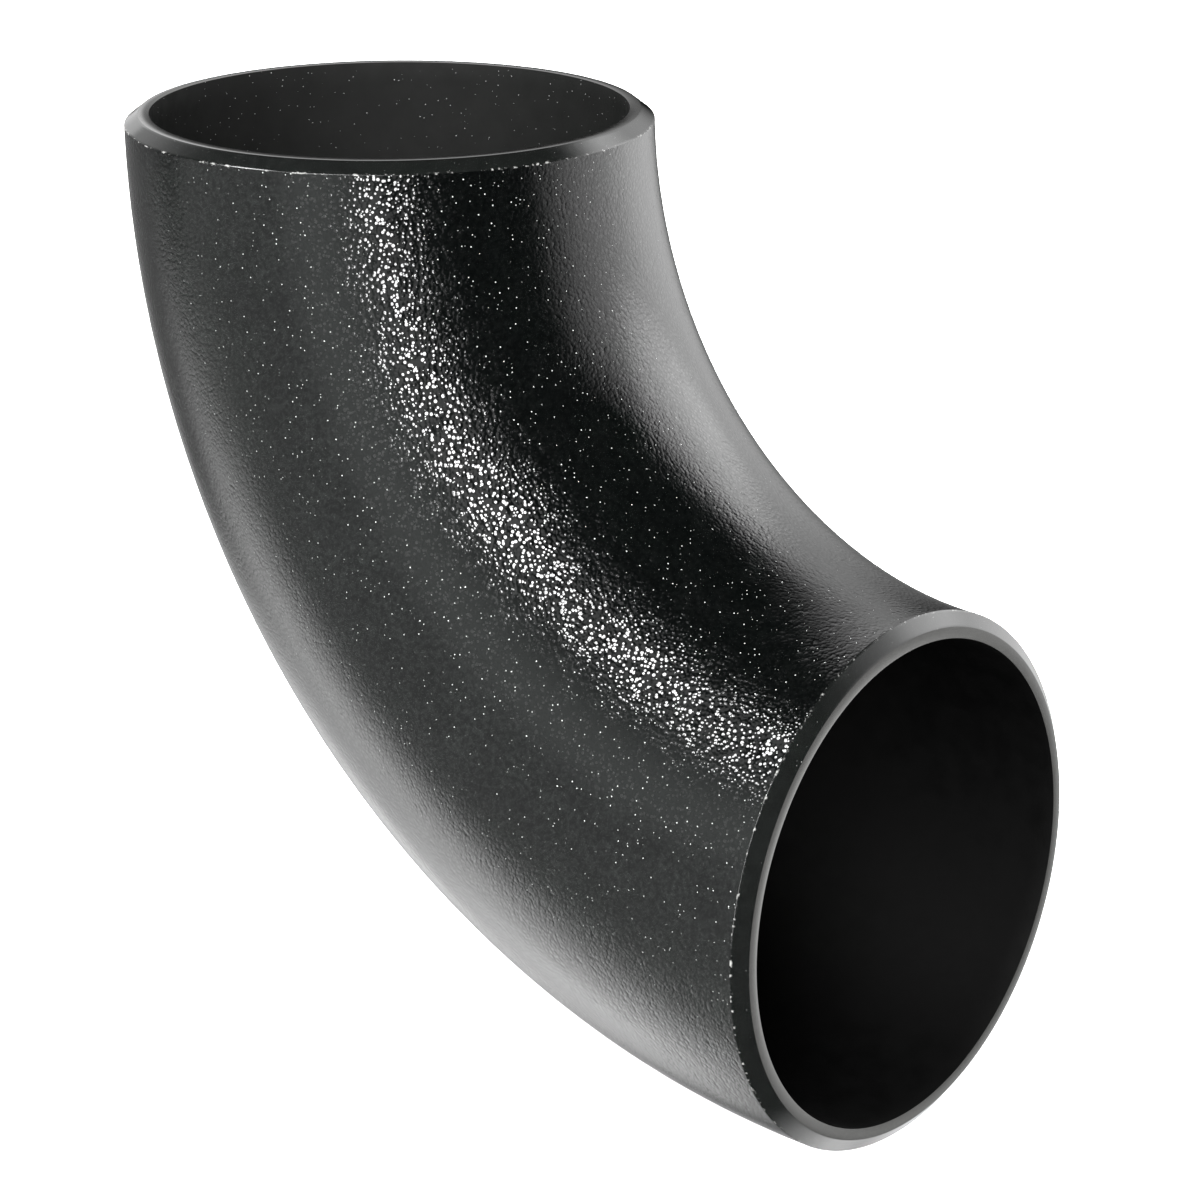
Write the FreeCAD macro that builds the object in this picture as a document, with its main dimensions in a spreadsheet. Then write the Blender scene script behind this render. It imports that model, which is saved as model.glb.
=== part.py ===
import FreeCAD, Part
import math
import os
import Sketcher

# Long-radius butt-weld pipe elbow: one hollow steel bend, both ends cut square and bevelled for welding.
# Frame: origin at the centre of the side weld face, +X out of that face, +Z out of the top weld face.
# The bend lies in the XZ plane, and its centre is straight above the origin.

SIZES = (
    ("outside_diameter", 76.1, "outside diameter of the tube, mm"),
    ("wall_thickness", 3.6, "wall of the tube, mm"),
    ("bend_radius", 95.0, "radius of the bend at the tube's centreline, mm"),
    ("bend_angle", 90.0, "turn from one weld face to the other, degrees"),
    ("root_face", 1.6, "width of the square land beside the bore, mm"),
    ("bevel_angle", 37.5, "slope of the bevel, from the weld face, degrees"),
    ("cut_overrun", 0.8, "how far the bevel cut runs out past the skin, mm"),
)
BORE_DIAMETER = "Sizes.outside_diameter - 2 * Sizes.wall_thickness"
LAND_RADIUS = "Sizes.outside_diameter / 2 - Sizes.wall_thickness + Sizes.root_face"
CUT_REACH = "Sizes.wall_thickness - Sizes.root_face + Sizes.cut_overrun"
CUT_DEPTH = f"({CUT_REACH}) * tan(Sizes.bevel_angle)"
FULL_TURN = 360.0
VOLUME_TOLERANCE = 0.01

# Ids that Sketcher gives to a sketch's own origin and vertical axis, and to a line's or circle's points.
ROOT_POINT = -1
VERTICAL_AXIS = -2
START, END, CENTRE = 1, 2, 3


def make_sheet(doc):
    sheet = doc.addObject("Spreadsheet::Sheet", "Sizes")
    for row, (alias, value, meaning) in enumerate(SIZES, start=1):
        sheet.set(f"A{row}", meaning)
        sheet.set(f"B{row}", str(value))
        sheet.setAlias(f"B{row}", alias)
    doc.recompute()
    return sheet


def origin_plane(body, role):
    return next(part for part in body.Origin.OriginFeatures if part.Role == role)


def sketch_on(body, role, name):
    sketch = body.newObject("Sketcher::SketchObject", name)
    sketch.AttachmentSupport = [(origin_plane(body, role), "")]
    sketch.MapMode = "FlatFace"
    return sketch


def drive(sketch, name, expression, *constraint):
    """Adds a dimension to the sketch, names it and ties it to the sheet."""
    index = sketch.addConstraint(Sketcher.Constraint(*constraint))
    sketch.renameConstraint(index, name)
    sketch.setExpression(f".Constraints.{name}", expression)


def draw_tube_section(body, sheet):
    """The ring of the tube on the side weld face, with the axis of the bend above it."""
    outside = sheet.outside_diameter
    bore = outside - 2 * sheet.wall_thickness
    height = sheet.bend_radius
    centre = FreeCAD.Vector(0, 0, 0)
    up = FreeCAD.Vector(0, 0, 1)
    sketch = sketch_on(body, "YZ_Plane", "tube_section")
    skin = sketch.addGeometry(Part.Circle(centre, up, outside / 2), False)
    hole = sketch.addGeometry(Part.Circle(centre, up, bore / 2), False)
    left = FreeCAD.Vector(-outside / 2, height, 0)
    right = FreeCAD.Vector(outside / 2, height, 0)
    axis = sketch.addGeometry(Part.LineSegment(left, right), True)
    for circle in (skin, hole):
        sketch.addConstraint(Sketcher.Constraint("Coincident", circle, CENTRE, ROOT_POINT, START))
    sketch.addConstraint(Sketcher.Constraint("Symmetric", axis, START, axis, END, VERTICAL_AXIS))
    drive(sketch, "outside", "Sizes.outside_diameter", "Diameter", skin, outside)
    drive(sketch, "bore", BORE_DIAMETER, "Diameter", hole, bore)
    drive(sketch, "bend_radius", "Sizes.bend_radius", "DistanceY", ROOT_POINT, START, axis, START, height)
    drive(sketch, "axis_length", "Sizes.outside_diameter", "DistanceX", axis, START, axis, END, outside)
    return sketch


def revolve_bend(body, section):
    bend = body.newObject("PartDesign::Revolution", "bend")
    bend.Profile = section
    bend.ReferenceAxis = (section, ["Axis0"])
    bend.setExpression("Angle", "Sizes.bend_angle")
    return bend


def draw_bevel_profile(body, sheet):
    """The triangle that one bevel cut takes off, from the edge of the land out past the skin."""
    land = sheet.outside_diameter / 2 - sheet.wall_thickness + sheet.root_face
    reach = sheet.wall_thickness - sheet.root_face + sheet.cut_overrun
    depth = reach * math.tan(math.radians(sheet.bevel_angle))
    corners = [
        FreeCAD.Vector(0, land, 0),
        FreeCAD.Vector(0, land + reach, 0),
        FreeCAD.Vector(-depth, land + reach, 0),
    ]
    sketch = sketch_on(body, "XZ_Plane", "bevel_profile")
    face, back, slope = (
        sketch.addGeometry(Part.LineSegment(corners[i], corners[(i + 1) % 3]), False) for i in range(3)
    )
    for first, second in ((face, back), (back, slope), (slope, face)):
        sketch.addConstraint(Sketcher.Constraint("Coincident", first, END, second, START))
    sketch.addConstraint(Sketcher.Constraint("PointOnObject", face, START, VERTICAL_AXIS))
    sketch.addConstraint(Sketcher.Constraint("Vertical", face))
    sketch.addConstraint(Sketcher.Constraint("Horizontal", back))
    drive(sketch, "land_radius", LAND_RADIUS, "DistanceY", ROOT_POINT, START, face, START, land)
    drive(sketch, "reach", CUT_REACH, "DistanceY", face, START, face, END, reach)
    drive(sketch, "depth", CUT_DEPTH, "DistanceX", back, END, back, START, depth)
    return sketch


def cut_side_bevel(body, profile):
    """Turns the triangle about the axis of the side end."""
    groove = body.newObject("PartDesign::Groove", "side_bevel")
    groove.Profile = profile
    groove.ReferenceAxis = (profile, ["H_Axis"])
    groove.Angle = FULL_TURN
    return groove


def place_middle_plane(body, sheet):
    """The plane halfway round the bend, across which one end is the mirror image of the other."""
    plane = body.newObject("PartDesign::Plane", "bend_middle")
    plane.AttachmentSupport = [(origin_plane(body, "YZ_Plane"), "")]
    plane.MapMode = "FlatFace"
    plane.AttachmentOffset = FreeCAD.Placement(
        FreeCAD.Vector(0, sheet.bend_radius, 0),
        FreeCAD.Rotation(FreeCAD.Vector(1, 0, 0), sheet.bend_angle / 2),
    )
    plane.setExpression(".AttachmentOffset.Base.y", "Sizes.bend_radius")
    plane.setExpression(".AttachmentOffset.Rotation.Angle", "Sizes.bend_angle / 2")
    return plane


def mirror_bevel(body, groove, plane):
    mirrored = body.newObject("PartDesign::Mirrored", "top_bevel")
    mirrored.Originals = [groove]
    mirrored.MirrorPlane = (plane, [""])
    body.Tip = mirrored
    return mirrored


def make_elbow(doc, sheet):
    body = doc.addObject("PartDesign::Body", "elbow_body")
    body.Label = "elbow_body"
    section = draw_tube_section(body, sheet)
    bend = revolve_bend(body, section)
    doc.recompute()
    profile = draw_bevel_profile(body, sheet)
    groove = cut_side_bevel(body, profile)
    doc.recompute()
    plane = place_middle_plane(body, sheet)
    doc.recompute()
    mirrored = mirror_bevel(body, groove, plane)
    doc.recompute()
    check_volumes(sheet, bend, groove, mirrored)
    return body


def agree(found, expected, what):
    if abs(found - expected) > VOLUME_TOLERANCE * expected:
        raise RuntimeError(f"{what}: {found:.1f} mm3, not {expected:.1f} mm3")


def check_volumes(sheet, bend, groove, mirrored):
    """Compares the tube and the metal that each bevel takes off with the volumes worked out by hand."""
    skin_radius = sheet.outside_diameter / 2
    bore_radius = skin_radius - sheet.wall_thickness
    land_radius = bore_radius + sheet.root_face
    ring = math.pi * (skin_radius**2 - bore_radius**2)
    tube = ring * sheet.bend_radius * math.radians(sheet.bend_angle)
    width = skin_radius - land_radius
    depth = width * math.tan(math.radians(sheet.bevel_angle))
    centroid_radius = land_radius + 2 * width / 3
    bevel = math.pi * centroid_radius * width * depth
    agree(bend.Shape.Volume, tube, "bend")
    agree(bend.Shape.Volume - groove.Shape.Volume, bevel, "side bevel")
    agree(groove.Shape.Volume - mirrored.Shape.Volume, bevel, "top bevel")


def check_document(doc, bodies):
    for item in doc.Objects:
        if "Invalid" in item.State or "Error" in item.State:
            raise RuntimeError(f"{item.Name} failed: {item.State}")
    for body in bodies:
        if body.Shape.isNull() or not body.Shape.isValid() or len(body.Shape.Solids) != 1:
            raise RuntimeError(f"{body.Label} isn't one sound solid")


def main():
    doc = FreeCAD.newDocument("pipe_elbow")
    sheet = make_sheet(doc)
    bodies = [make_elbow(doc, sheet)]
    check_document(doc, bodies)
    os.makedirs("parts", exist_ok=True)
    for body in bodies:
        body.Shape.exportStep(f"parts/{body.Label}.step")
        box = body.Shape.optimalBoundingBox(False)
        print(f"{body.Label}: {body.Shape.Volume:.1f} mm3, X {box.XMin:.3f} to {box.XMax:.3f},")
        print(f"  Y {box.YMin:.3f} to {box.YMax:.3f}, Z {box.ZMin:.3f} to {box.ZMax:.3f}")


main()
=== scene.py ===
import math
import bmesh
import bpy
from mathutils import Euler, Matrix, Vector


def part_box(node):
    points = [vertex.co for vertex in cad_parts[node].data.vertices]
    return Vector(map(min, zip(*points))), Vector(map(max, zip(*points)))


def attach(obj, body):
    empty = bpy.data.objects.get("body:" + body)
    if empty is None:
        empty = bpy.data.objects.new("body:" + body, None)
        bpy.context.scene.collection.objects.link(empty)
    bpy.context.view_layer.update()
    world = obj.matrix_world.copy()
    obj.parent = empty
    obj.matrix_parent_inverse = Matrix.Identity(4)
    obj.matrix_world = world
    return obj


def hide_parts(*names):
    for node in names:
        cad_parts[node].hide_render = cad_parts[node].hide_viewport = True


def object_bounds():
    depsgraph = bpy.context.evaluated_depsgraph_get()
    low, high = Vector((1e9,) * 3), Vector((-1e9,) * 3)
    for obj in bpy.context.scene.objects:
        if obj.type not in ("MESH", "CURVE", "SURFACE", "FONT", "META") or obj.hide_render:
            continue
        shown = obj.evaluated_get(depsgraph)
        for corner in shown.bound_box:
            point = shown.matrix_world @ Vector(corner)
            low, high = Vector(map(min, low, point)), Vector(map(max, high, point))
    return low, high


# A seamless long-radius pipe elbow: one steel bend in black paint, with both ends bevelled for welding.
# The side weld face lies in x = 0 and looks along +X. The top weld face looks along +Z.

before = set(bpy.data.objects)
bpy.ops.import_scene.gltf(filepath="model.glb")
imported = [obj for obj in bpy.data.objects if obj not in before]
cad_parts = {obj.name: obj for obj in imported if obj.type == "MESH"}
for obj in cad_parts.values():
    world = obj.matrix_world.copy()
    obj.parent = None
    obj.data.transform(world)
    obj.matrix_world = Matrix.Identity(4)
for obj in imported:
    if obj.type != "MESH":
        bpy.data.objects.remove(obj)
cad_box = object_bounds()

MM = 0.001
LOW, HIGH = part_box("elbow_body")
SKIN_RADIUS = HIGH.y
BEND_RADIUS = HIGH.z
WALL = 3.6 * MM
ROOT_FACE = 1.6 * MM
BEVEL_ANGLE = math.radians(37.5)
BORE_RADIUS = SKIN_RADIUS - WALL
LAND_RADIUS = BORE_RADIUS + ROOT_FACE
BEVEL_DEPTH = (SKIN_RADIUS - LAND_RADIUS) * math.tan(BEVEL_ANGLE)
# How far the skin has bent away from the end's own axis, at the depth where the bevel meets it.
RIM_RISE = BEVEL_DEPTH**2 / (2 * BEND_RADIUS)

BEND_CENTRE = Vector((0, 0, BEND_RADIUS))
BEND_AXIS = Vector((0, 1, 0))
QUARTER_TURN = math.radians(90)
FACE_X = Matrix.Rotation(QUARTER_TURN, 4, "Y")
# The places of the two ends: +X points out of the weld face, and +Z to the inside of the bend.
SIDE_END = Matrix.Identity(4)
TOP_END = Matrix(((0, 0, 1, -BEND_RADIUS), (0, 1, 0, 0), (1, 0, 0, BEND_RADIUS), (0, 0, 0, 1)))

SEGMENTS = 192
SKIN_ROWS = 150
BORE_ROWS = 60
# The skin's sweep starts and stops this far round from the weld faces, just behind the bevels.
FIRST_ROW = math.radians(1.7)
SKIN_CUTS = 5
BEVEL_CUTS = 6
LAND_CUTS = 5
EDGE_ROUNDING = 0.025 * MM
EDGE_STEPS = 2
MERGE_DISTANCE = 0.001 * MM

SKIN, BEVEL, LAND, BORE = range(4)


# ---------------------------------------------------------------- the elbow's mesh


def ring_edges(verts):
    """The edges that join these vertices, each once, in an order that doesn't change from run to run."""
    members = set(verts)
    touching = dict.fromkeys(edge for vert in verts for edge in vert.link_edges)
    return [edge for edge in touching if set(edge.verts) <= members]


def add_rim(mesh, place):
    """The ring of edges where one end's bevel meets the skin."""
    turned = place @ Matrix.Translation((-BEVEL_DEPTH, 0, RIM_RISE)) @ FACE_X
    ring = bmesh.ops.create_circle(mesh, radius=SKIN_RADIUS, segments=SEGMENTS, matrix=turned)
    return ring_edges(ring["verts"])


def sweep_bend(mesh, radius, first, rows, slot):
    """Sweeps a ring round the bend, and gives back the rings of edges at its two ends."""
    others = set(mesh.faces)
    turn = Matrix.Rotation(first, 4, BEND_AXIS)
    place = Matrix.Translation(BEND_CENTRE) @ turn @ Matrix.Translation(-BEND_CENTRE)
    ring = bmesh.ops.create_circle(mesh, radius=radius, segments=SEGMENTS, matrix=place @ FACE_X)
    start = ring_edges(ring["verts"])
    swept = bmesh.ops.spin(
        mesh,
        geom=ring["verts"] + start,
        cent=BEND_CENTRE,
        axis=BEND_AXIS,
        angle=QUARTER_TURN - 2 * first,
        steps=rows,
        use_merge=False,
        use_normal_flip=False,
        use_duplicate=False,
    )
    end = [item for item in swept["geom_last"] if isinstance(item, bmesh.types.BMEdge)]
    for face in mesh.faces:
        if face not in others:
            face.material_index = slot
    return start, end


def grow_land(mesh, bore_end, centre):
    """Widens the bore's end ring into the flat land, and gives back the land's outer ring."""
    grown = bmesh.ops.extrude_edge_only(mesh, edges=bore_end)["geom"]
    verts = [item for item in grown if isinstance(item, bmesh.types.BMVert)]
    growth = LAND_RADIUS / BORE_RADIUS
    bmesh.ops.scale(mesh, vec=(growth, growth, growth), space=Matrix.Translation(-centre), verts=verts)
    for face in grown:
        if isinstance(face, bmesh.types.BMFace):
            face.material_index = LAND
    ring = ring_edges(verts)
    across = [item for item in grown if isinstance(item, bmesh.types.BMEdge) and item not in ring]
    bmesh.ops.subdivide_edges(mesh, edges=across, cuts=LAND_CUTS, use_grid_fill=True)
    return ring


def bridge(mesh, first, second, slot, cuts):
    """Joins two rings with a band of faces, and divides the band so that its edges round neatly."""
    made = bmesh.ops.bridge_loops(mesh, edges=first + second)
    for face in made["faces"]:
        face.material_index = slot
    rings = set(first + second)
    edges = dict.fromkeys(edge for face in made["faces"] for edge in face.edges)
    across = [edge for edge in edges if edge not in rings]
    bmesh.ops.subdivide_edges(mesh, edges=across, cuts=cuts, use_grid_fill=True)


def make_elbow_mesh():
    mesh = bmesh.new()
    skin_ends = sweep_bend(mesh, SKIN_RADIUS, FIRST_ROW, SKIN_ROWS, SKIN)
    bore_ends = sweep_bend(mesh, BORE_RADIUS, 0.0, BORE_ROWS, BORE)
    sharp = []
    for place, skin_end, bore_end in zip((SIDE_END, TOP_END), skin_ends, bore_ends):
        rim = add_rim(mesh, place)
        land = grow_land(mesh, bore_end, place.translation)
        bridge(mesh, skin_end, rim, SKIN, SKIN_CUTS)
        bridge(mesh, rim, land, BEVEL, BEVEL_CUTS)
        sharp += rim + land + bore_end
    bmesh.ops.remove_doubles(mesh, verts=mesh.verts, dist=MERGE_DISTANCE)
    bmesh.ops.recalc_face_normals(mesh, faces=mesh.faces)
    bmesh.ops.bevel(
        mesh,
        geom=sharp,
        offset=EDGE_ROUNDING,
        offset_type="OFFSET",
        affect="EDGES",
        segments=EDGE_STEPS,
        profile=0.5,
        material=-1,
        clamp_overlap=True,
    )
    for face in mesh.faces:
        face.smooth = True
    data = bpy.data.meshes.new("elbow")
    mesh.to_mesh(data)
    mesh.free()
    return data


# ---------------------------------------------------------------- shader helpers

# A Mix node's colour sockets go by number, because it has several sockets of the same name.
MIX_AMOUNT, MIX_FIRST, MIX_SECOND, MIX_RESULT = 0, 6, 7, 2
FINE_DETAIL = 3.0
# The middle values of a noise, between which it goes from one finish to the other.
NOISE_MIDDLE = (0.3, 0.7)


def add(tree, kind, inputs=None, **settings):
    node = tree.nodes.new(kind)
    for name, value in settings.items():
        setattr(node, name, value)
    for name, value in (inputs or {}).items():
        if isinstance(value, bpy.types.NodeSocket):
            tree.links.new(value, node.inputs[name])
        else:
            node.inputs[name].default_value = value
    return node


def math_node(tree, operation, first, second=0.0, third=0.0):
    return add(tree, "ShaderNodeMath", {0: first, 1: second, 2: third}, operation=operation).outputs[0]


def between(tree, amount, start, end):
    """Goes evenly from the start value to the end value as the amount goes from 0 to 1."""
    return math_node(tree, "MULTIPLY_ADD", amount, end - start, start)


def remap(tree, value, low, high, to_low=0.0, to_high=1.0):
    """Eases from one value to the other as the input goes from low to high, and is level beyond."""
    node = add(
        tree,
        "ShaderNodeMapRange",
        {"Value": value, "From Min": low, "From Max": high, "To Min": to_low, "To Max": to_high},
        interpolation_type="SMOOTHSTEP",
    )
    return node.outputs["Result"]


def noise(tree, where, scale, detail=2.0):
    inputs = {"Vector": where, "Scale": scale, "Detail": detail, "Roughness": 0.5}
    return add(tree, "ShaderNodeTexNoise", inputs).outputs["Fac"]


def cells(tree, where, scale, randomness):
    """Cells round scattered points: the distance to the nearest point, and its random colour's parts."""
    inputs = {"Vector": where, "Scale": scale, "Randomness": randomness}
    found = add(tree, "ShaderNodeTexVoronoi", inputs, feature="F1").outputs
    own = add(tree, "ShaderNodeSeparateColor", {"Color": found["Color"]}).outputs
    return found["Distance"], own


def blend_colours(tree, amount, first, second):
    inputs = {MIX_AMOUNT: amount, MIX_FIRST: first, MIX_SECOND: second}
    return add(tree, "ShaderNodeMix", inputs, data_type="RGBA").outputs[MIX_RESULT]


def new_material(name):
    material = bpy.data.materials.new(name)
    material.use_nodes = True
    tree = material.node_tree
    tree.nodes.clear()
    shader = tree.nodes.new("ShaderNodeBsdfPrincipled")
    output = tree.nodes.new("ShaderNodeOutputMaterial")
    tree.links.new(shader.outputs["BSDF"], output.inputs["Surface"])
    where = tree.nodes.new("ShaderNodeTexCoord").outputs["Object"]
    return material, tree, shader, where


def set_bump(tree, shader, height):
    bump = add(tree, "ShaderNodeBump", {"Strength": 1.0, "Distance": 1.0, "Height": height})
    tree.links.new(bump.outputs["Normal"], shader.inputs["Normal"])


def set_even_bump(tree, shader, where, scale, depth):
    """One even grain all over."""
    set_bump(tree, shader, math_node(tree, "MULTIPLY", noise(tree, where, scale, FINE_DETAIL), depth))


def set_roughness(tree, shader, where, scale, detail, smoothest, roughest):
    """Smoother and rougher patches, between these two roughnesses."""
    dull = remap(tree, noise(tree, where, scale, detail), *NOISE_MIDDLE, smoothest, roughest)
    tree.links.new(dull, shader.inputs["Roughness"])


# ---------------------------------------------------------------- the elbow's finishes

# Scales are in cells or waves to the metre, and depths in metres. Colours are red, green, blue and alpha.

# Where the black paint changes round the tube. An angle goes from -Y to the inside of the bend. A zone gives
# the cosines of the turn away from its angle at which it begins and is full.
CROWN_ANGLE = math.radians(42.0)
STREAK_ANGLE = math.radians(43.0)
FRONT_ZONE = (0.40, 0.95)
CROWN_ZONE = (0.84, 0.97)
STREAK_ZONE = (0.90, 0.955)
# How much further a point faces forward than inward, where the side with painted light begins and is full.
PAINTED_LIT_SIDE_ZONE = (0.0, 0.45)

# The black paint's relief.
PEBBLE_SCALE = 1700.0
PEBBLE_RANDOMNESS = 0.95
PEBBLE_DEPTH = 0.062 * MM
PEBBLE_SHARE_ELSEWHERE = 0.38
UNEVEN_SCALE = 420.0
UNEVEN_LIMITS = (0.3, 0.75)
UNEVEN_STRENGTH = (0.6, 1.8)
PEEL_SCALE = 2600.0
PEEL_DETAIL = 1.0
PEEL_DEPTH = 0.026 * MM
PEEL_SHARE_AT_CROWN = 0.2
SWELL_SCALE = 60.0
SWELL_DEPTH = 0.03 * MM

# The black paint's colour.
MOTTLE_SCALE = 1500.0
MOTTLE_LIMITS = (0.35, 0.75)
MOTTLE_TONE = (0.25, 1.0)
CLOUD_SCALE = 180.0
CLOUD_LEAST = 0.2
# Painted shade: the tone falls to this share on the inside of the bend and round the back.
INWARD_PAINTED_SHADE = 0.25
PAINT_DARK = (0.0004, 0.0005, 0.0005, 1.0)
PAINT_PALE = (0.0052, 0.0060, 0.0056, 1.0)
# Painted sheen: paler paint over the glint streak's front side, standing in for the reflection its dull
# creases lose.
PAINT_SHEEN = (0.0075, 0.0080, 0.0078, 1.0)
# Pale flecks, partly dust and partly painted glints, spread most on the front and crown, where the glints
# fall.
PAINT_FLECK_AND_GLINT = (0.26, 0.27, 0.26, 1.0)
FLECK_GLINT_SPREAD = (0.50, 0.90)
FLECK_GLINT_SPREAD_AT_CROWN = 0.08

# The black paint's gloss.
PAINT_ROUGHNESS = (0.11, 0.17)
PAINT_PATCH_SCALE = 320.0
TOP_WIDTH = (0.16, 0.42)
TOP_EDGE = 0.07
TOP_GLOSS = 1.3
CREASE_GLOSS = 0.04
PAINT_SPECULAR = 0.5

# Worn spots along the rims. The first pair is how far off the rim they begin, and are full.
RIM_NEAR = (0.20 * MM, 0.02 * MM)
WEAR_SCALE = 1300.0
WEAR_LIMITS = (0.55, 0.70)
WORN_STEEL = (0.15, 0.15, 0.145, 1.0)

# Pale flecks of dust and painted glints, in cells of their own that are turned away from the pebbles'.
FLECK_TURN = (0.6, 0.4, 0.9)
FLECK_SCALE = 1600.0
FLECK_RANDOMNESS = 1.0
FLECK_PICKED = (0.1, 1.0)
FLECK_REACH = 0.18
FLECK_EDGE = 0.05
# Pale flecks on the bevels and in the bore, partly dust and partly painted glints.
PALE_FLECK_AND_GLINT = (0.3, 0.3, 0.3, 1.0)

# The bevels' paint, the lands' steel and the bore's paint.
BEVEL_DARK = (0.0018, 0.0020, 0.0019, 1.0)
BEVEL_PALE = (0.0040, 0.0045, 0.0042, 1.0)
BEVEL_FLECK_SPREAD = 0.45
LAND_DARK = (0.030, 0.030, 0.029, 1.0)
LAND_PALE = (0.042, 0.042, 0.040, 1.0)
LAND_METALLIC = 0.85
BORE_BLACK = (0.0005, 0.0005, 0.0005, 1.0)
# Painted light: the bore is paler grey up towards the top mouth.
BORE_MOUTH_LIGHT_DARK = (0.0040, 0.0042, 0.0040, 1.0)
BORE_MOUTH_LIGHT_PALE = (0.0065, 0.0068, 0.0065, 1.0)
BORE_FLECK_SPREAD = 0.70
BORE_SPECULAR = 0.05


def section_direction(tree, where):
    """How far a point faces inward, to the inside of the bend, and forward, to -Y, both from -1 to 1."""
    parts = add(tree, "ShaderNodeSeparateXYZ", {"Vector": where}).outputs
    rise = math_node(tree, "SUBTRACT", parts["Z"], BEND_RADIUS)
    rise_squared = math_node(tree, "MULTIPLY", rise, rise)
    squares = math_node(tree, "MULTIPLY_ADD", parts["X"], parts["X"], rise_squared)
    from_axis = math_node(tree, "SQRT", squares)
    inward = math_node(tree, "DIVIDE", math_node(tree, "SUBTRACT", BEND_RADIUS, from_axis), SKIN_RADIUS)
    forward = math_node(tree, "DIVIDE", parts["Y"], -SKIN_RADIUS)
    return inward, forward


def facing_angle(tree, inward, forward, angle):
    """The cosine of the turn between a point's way of facing and one at this angle from -Y."""
    part = math_node(tree, "MULTIPLY", forward, math.cos(angle))
    return math_node(tree, "MULTIPLY_ADD", inward, math.sin(angle), part)


def end_depth(tree, where):
    """How far a point lies behind the nearer weld face."""
    parts = add(tree, "ShaderNodeSeparateXYZ", {"Vector": where}).outputs
    behind_side = math_node(tree, "MULTIPLY", parts["X"], -1.0)
    behind_top = math_node(tree, "SUBTRACT", BEND_RADIUS, parts["Z"])
    return math_node(tree, "MINIMUM", behind_side, behind_top)


def rim_wear(tree, where):
    """Broken spots of worn paint along the sharp rim where the bevel meets the skin."""
    off_rim = math_node(tree, "ABSOLUTE", math_node(tree, "SUBTRACT", end_depth(tree, where), BEVEL_DEPTH))
    near = remap(tree, off_rim, *RIM_NEAR)
    patches = remap(tree, noise(tree, where, WEAR_SCALE), *WEAR_LIMITS)
    return math_node(tree, "MULTIPLY", near, patches)


def fleck_and_glint_amount(tree, where, spread):
    """Pale flecks of dust and painted glints, up to 0.22 mm across. A wider spread gives more and larger
    ones.
    """
    turned = add(tree, "ShaderNodeMapping", {"Vector": where, "Rotation": FLECK_TURN}).outputs["Vector"]
    distance, own = cells(tree, turned, FLECK_SCALE, FLECK_RANDOMNESS)
    widest = remap(tree, own["Green"], *FLECK_PICKED, 0.0, FLECK_REACH)
    reach = math_node(tree, "MULTIPLY", widest, spread)
    return remap(tree, math_node(tree, "SUBTRACT", reach, distance), 0.0, FLECK_EDGE)


def pebble_relief(tree, where, distance, crown):
    """Rounded pebbles, highest at the crown, with fine orange peel away from it, on a slow swell."""
    dome = math_node(tree, "MULTIPLY", distance, distance)
    uneven = remap(tree, noise(tree, where, UNEVEN_SCALE), *UNEVEN_LIMITS, *UNEVEN_STRENGTH)
    strength = math_node(tree, "MULTIPLY", uneven, between(tree, crown, PEBBLE_SHARE_ELSEWHERE, 1.0))
    coarse = math_node(tree, "MULTIPLY", math_node(tree, "MULTIPLY", dome, strength), -PEBBLE_DEPTH)
    peel = between(tree, crown, 1.0, PEEL_SHARE_AT_CROWN)
    ripple = math_node(tree, "MULTIPLY", noise(tree, where, PEEL_SCALE, PEEL_DETAIL), peel)
    fine = math_node(tree, "MULTIPLY", ripple, PEEL_DEPTH)
    grain = math_node(tree, "ADD", coarse, fine)
    swell = math_node(tree, "MULTIPLY", noise(tree, where, SWELL_SCALE), SWELL_DEPTH)
    return math_node(tree, "ADD", grain, swell)


def paint_tone_and_shade(tree, where, painted_lit_side):
    """Uneven dark and pale patches, with painted shade on the inside of the bend and round the back."""
    mottle = remap(tree, noise(tree, where, MOTTLE_SCALE), *MOTTLE_LIMITS, *MOTTLE_TONE)
    cloud = math_node(tree, "ADD", noise(tree, where, CLOUD_SCALE, FINE_DETAIL), CLOUD_LEAST)
    patches = math_node(tree, "MULTIPLY", mottle, cloud)
    return math_node(tree, "MULTIPLY", patches, between(tree, painted_lit_side, INWARD_PAINTED_SHADE, 1.0))


def pebble_gloss(tree, distance, own, streak):
    """Within the streak only the pebbles' tops are glossy, with dull dust in the creases between them."""
    width = between(tree, own["Red"], *TOP_WIDTH)
    top = remap(tree, math_node(tree, "SUBTRACT", distance, width), TOP_EDGE, 0.0)
    bare = between(tree, streak, 1.0, CREASE_GLOSS)
    return math_node(tree, "MAXIMUM", math_node(tree, "MULTIPLY", top, TOP_GLOSS), bare)


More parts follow.
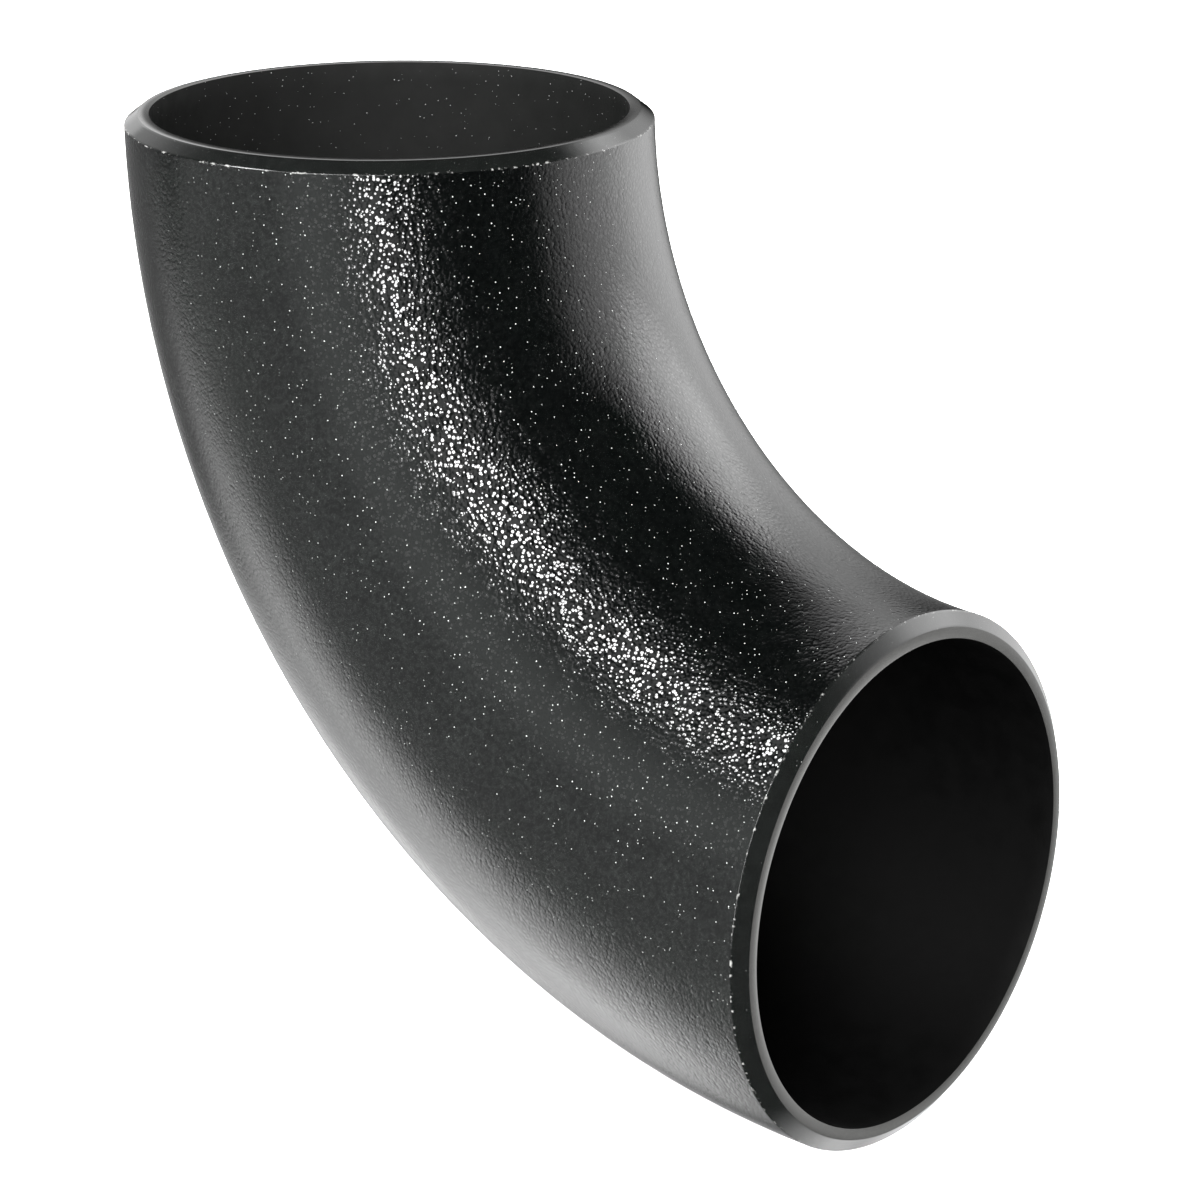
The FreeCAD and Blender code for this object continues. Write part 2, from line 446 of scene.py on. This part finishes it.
def make_black_paint():
    material, tree, shader, where = new_material("black_paint")
    inward, forward = section_direction(tree, where)
    facing = facing_angle(tree, inward, forward, CROWN_ANGLE)
    front = remap(tree, facing, *FRONT_ZONE)
    crown = remap(tree, facing, *CROWN_ZONE)
    streak = remap(tree, facing_angle(tree, inward, forward, STREAK_ANGLE), *STREAK_ZONE)
    painted_lit_side = remap(tree, math_node(tree, "SUBTRACT", forward, inward), *PAINTED_LIT_SIDE_ZONE)
    distance, own = cells(tree, where, PEBBLE_SCALE, PEBBLE_RANDOMNESS)
    set_bump(tree, shader, pebble_relief(tree, where, distance, crown))

    # The paint's mottled tone, with painted shade on the inside of the bend and round the back.
    colour = blend_colours(tree, paint_tone_and_shade(tree, where, painted_lit_side), PAINT_DARK, PAINT_PALE)
    # Painted sheen on the front side of the glint streak.
    colour = blend_colours(tree, math_node(tree, "MULTIPLY", streak, painted_lit_side), colour, PAINT_SHEEN)
    # Pale flecks, partly painted glints, spread most on the front and crown.
    more = math_node(tree, "MULTIPLY", crown, FLECK_GLINT_SPREAD_AT_CROWN)
    spread = math_node(tree, "ADD", between(tree, front, *FLECK_GLINT_SPREAD), more)
    colour = blend_colours(tree, fleck_and_glint_amount(tree, where, spread), colour, PAINT_FLECK_AND_GLINT)
    colour = blend_colours(tree, rim_wear(tree, where), colour, WORN_STEEL)
    tree.links.new(colour, shader.inputs["Base Color"])

    set_roughness(tree, shader, where, PAINT_PATCH_SCALE, FINE_DETAIL, *PAINT_ROUGHNESS)
    gloss = pebble_gloss(tree, distance, own, streak)
    tree.links.new(math_node(tree, "MULTIPLY", gloss, PAINT_SPECULAR), shader.inputs["Specular IOR Level"])
    return material


def make_bevel_paint():
    material, tree, shader, where = new_material("bevel_paint")
    set_even_bump(tree, shader, where, scale=1100.0, depth=0.004 * MM)
    tone = noise(tree, where, scale=500.0, detail=FINE_DETAIL)
    colour = blend_colours(tree, tone, BEVEL_DARK, BEVEL_PALE)
    # Pale flecks, partly dust and partly painted glints.
    colour = blend_colours(tree, fleck_and_glint_amount(tree, where, BEVEL_FLECK_SPREAD), colour, PALE_FLECK_AND_GLINT)
    colour = blend_colours(tree, rim_wear(tree, where), colour, WORN_STEEL)
    tree.links.new(colour, shader.inputs["Base Color"])
    set_roughness(tree, shader, where, scale=700.0, detail=FINE_DETAIL, smoothest=0.09, roughest=0.14)
    return material


def make_land_steel():
    material, tree, shader, where = new_material("land_steel")
    set_even_bump(tree, shader, where, scale=1500.0, depth=0.002 * MM)
    tone = noise(tree, where, scale=900.0, detail=FINE_DETAIL)
    tree.links.new(blend_colours(tree, tone, LAND_DARK, LAND_PALE), shader.inputs["Base Color"])
    set_roughness(tree, shader, where, scale=900.0, detail=2.0, smoothest=0.13, roughest=0.18)
    shader.inputs["Metallic"].default_value = LAND_METALLIC
    return material


def make_bore_paint():
    """Flat black low in the tube, with painted light making it paler grey up towards the top mouth."""
    material, tree, shader, where = new_material("bore_paint")
    set_even_bump(tree, shader, where, scale=500.0, depth=0.02 * MM)
    height = add(tree, "ShaderNodeSeparateXYZ", {"Vector": where}).outputs["Z"]
    # Painted light: paler grey up towards the top mouth, black lower in the bore.
    mouth_light = remap(tree, height, BEND_RADIUS / 3, BEND_RADIUS)
    tone = noise(tree, where, scale=200.0, detail=FINE_DETAIL)
    mouth_grey = blend_colours(tree, tone, BORE_MOUTH_LIGHT_DARK, BORE_MOUTH_LIGHT_PALE)
    colour = blend_colours(tree, mouth_light, BORE_BLACK, mouth_grey)
    spread = math_node(tree, "MULTIPLY", mouth_light, BORE_FLECK_SPREAD)
    # Pale flecks near the top mouth, partly dust and partly painted glints.
    colour = blend_colours(tree, fleck_and_glint_amount(tree, where, spread), colour, PALE_FLECK_AND_GLINT)
    tree.links.new(colour, shader.inputs["Base Color"])
    set_roughness(tree, shader, where, scale=300.0, detail=FINE_DETAIL, smoothest=0.6, roughest=0.75)
    shader.inputs["Specular IOR Level"].default_value = BORE_SPECULAR
    return material


def build_elbow():
    elbow = bpy.data.objects.new("steel_elbow", make_elbow_mesh())
    bpy.context.scene.collection.objects.link(elbow)
    # In the order of the material numbers SKIN, BEVEL, LAND and BORE.
    for make in (make_black_paint, make_bevel_paint, make_land_steel, make_bore_paint):
        elbow.data.materials.append(make())
    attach(elbow, "root")
    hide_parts("elbow_body")


# ---------------------------------------------------------------- the studio

CAMERA_PLACE = Vector((0.27055, -0.38523, 0.20207))
CAMERA_AZIMUTH = 40.259
CAMERA_ELEVATION = 18.942
CAMERA_ROLL = -0.119
LENS = 111.99
SENSOR = 36.0
CLIP_START = 0.01
CLIP_END = 50.0

WHITE = (1.0, 1.0, 1.0, 1.0)
FLOOR_SIZE = 6.0
FLOOR_DIVISIONS = 2
FLOOR_CLOUD_SCALE = 3.0
FLOOR_DARK = (0.80, 0.80, 0.80, 1.0)
FLOOR_PALE = (0.83, 0.83, 0.83, 1.0)
FLOOR_ROUGHNESS = 0.9
FLOOR_GLOW = 0.9

PANEL_DISTANCE = 1.3
# Name, azimuth, elevation, width and height in degrees as the object sees them, radiance, and how soft the
# panel's edges are across its width and its height.
PANELS = (
    ("right_panel", 142, 0, 84, 88, 2.25, 1.0, 0.5),
    ("back_panel", 176, 4, 76, 100, 2.1, 1.0, 0.5),
    ("low_left_panel", -70, -35, 50, 54, 2.9, 1.0, 1.0),
    ("left_fill", -18, -10, 100, 90, 0.6, 0.5, 0.5),
    ("left_back_fill", -100, -5, 80, 90, 0.25, 0.6, 0.6),
    ("low_back_panel", -106, -42, 40, 44, 1.3, 0.7, 0.7),
    ("back_left_panel", -120, 12, 24, 30, 0.9, 0.3, 0.3),
    ("high_back_panel", -128, 36, 76, 56, 2.0, 1.0, 1.0),
    ("low_end_panel", -82, -54, 52, 38, 2.0, 1.0, 1.0),
    ("low_far_panel", -178, -50, 64, 44, 1.5, 0.8, 0.8),
    ("low_right_panel", 152, -62, 44, 36, 2.2, 0.9, 0.9),
    ("under_back_panel", -138, -28, 56, 44, 0.7, 0.8, 0.8),
    ("high_right_panel", 162, 30, 50, 40, 1.8, 0.5, 0.5),
)
# Round lamps that make the streak of glints: azimuth, elevation and width in degrees, and radiance.
KEY_LAMPS = (
    (38, -4, 24, 24.0),
    (35, 20, 24, 30.0),
    (29, 42, 26, 34.0),
    (-6, 58, 24, 30.0),
    (-46, 50, 22, 24.0),
)


def direction(azimuth, elevation):
    """The way from the object to something seen at that azimuth and elevation, in degrees."""
    turn = math.radians(azimuth)
    rise = math.radians(elevation)
    return Vector((math.sin(turn) * math.cos(rise), -math.cos(turn) * math.cos(rise), math.sin(rise)))


def place_camera():
    data = bpy.data.cameras.new("studio_camera")
    data.lens = LENS
    data.sensor_width = SENSOR
    data.sensor_fit = "HORIZONTAL"
    data.clip_start = CLIP_START
    data.clip_end = CLIP_END
    camera = bpy.data.objects.new("studio_camera", data)
    bpy.context.scene.collection.objects.link(camera)
    tilt = math.radians(90 - CAMERA_ELEVATION)
    aim = Euler((tilt, 0, math.radians(CAMERA_AZIMUTH))).to_matrix().to_4x4()
    roll = Matrix.Rotation(math.radians(CAMERA_ROLL), 4, "Z")
    camera.matrix_world = Matrix.Translation(CAMERA_PLACE) @ aim @ roll
    bpy.context.scene.camera = camera


def soften_edges(data, softness):
    """Fades a panel's light out to its edges, over that share of the way from the middle of each side."""
    data.use_nodes = True
    tree = data.node_tree
    across = add(tree, "ShaderNodeNewGeometry").outputs["Parametric"]
    parts = add(tree, "ShaderNodeSeparateXYZ", {"Vector": across})
    fades = []
    for side, share in zip(("X", "Y"), softness):
        off_centre = math_node(tree, "SUBTRACT", parts.outputs[side], 0.5)
        from_edge = math_node(tree, "SUBTRACT", 0.5, math_node(tree, "ABSOLUTE", off_centre))
        fades.append(remap(tree, from_edge, 0.0, share / 2))
    strength = math_node(tree, "MULTIPLY", fades[0], fades[1])
    tree.links.new(strength, tree.nodes["Emission"].inputs["Strength"])


def add_panel(name, azimuth, elevation, width, height, radiance, *softness, shape="RECTANGLE"):
    data = bpy.data.lights.new(name, "AREA")
    data.shape = shape
    data.size = 2 * PANEL_DISTANCE * math.tan(math.radians(width) / 2)
    data.size_y = 2 * PANEL_DISTANCE * math.tan(math.radians(height) / 2)
    area = data.size * data.size_y
    if shape == "ELLIPSE":
        area *= math.pi / 4
    data.energy = radiance * area * math.pi
    if softness:
        soften_edges(data, softness)
    lamp = bpy.data.objects.new(name, data)
    bpy.context.scene.collection.objects.link(lamp)
    middle = (LOW + HIGH) / 2
    toward = direction(azimuth, elevation)
    aim = toward.to_track_quat("Z", "Y").to_matrix().to_4x4()
    lamp.matrix_world = Matrix.Translation(middle + PANEL_DISTANCE * toward) @ aim
    lamp.visible_camera = False


def light_studio():
    """Only the panels and lamps light the object. The white world is just a backdrop."""
    for panel in PANELS:
        add_panel(*panel)
    for number, (azimuth, elevation, width, radiance) in enumerate(KEY_LAMPS):
        add_panel(f"key_{number}", azimuth, elevation, width, width, radiance, shape="ELLIPSE")
    world = bpy.data.worlds.new("studio")
    bpy.context.scene.world = world
    world.use_nodes = True
    background = world.node_tree.nodes["Background"]
    background.inputs["Color"].default_value = WHITE
    background.inputs["Strength"].default_value = 1.0
    world.cycles_visibility.glossy = False
    world.cycles_visibility.diffuse = False


def lay_floor():
    """A pale paper floor. It glows a little to stay even, and lets the low panels' light through."""
    bpy.ops.mesh.primitive_grid_add(
        size=FLOOR_SIZE,
        x_subdivisions=FLOOR_DIVISIONS,
        y_subdivisions=FLOOR_DIVISIONS,
    )
    floor = bpy.context.active_object
    floor.name = "studio_floor"
    floor.location = (0, 0, cad_box[0][2])
    material, tree, shader, where = new_material("floor_paper")
    colour = blend_colours(tree, noise(tree, where, FLOOR_CLOUD_SCALE), FLOOR_DARK, FLOOR_PALE)
    tree.links.new(colour, shader.inputs["Base Color"])
    shader.inputs["Roughness"].default_value = FLOOR_ROUGHNESS
    shader.inputs["Emission Color"].default_value = WHITE
    shader.inputs["Emission Strength"].default_value = FLOOR_GLOW
    floor.data.materials.append(material)
    floor.visible_glossy = False
    floor.visible_shadow = False


build_elbow()
lay_floor()
light_studio()
place_camera()
bpy.context.scene.view_settings.view_transform = "Standard"
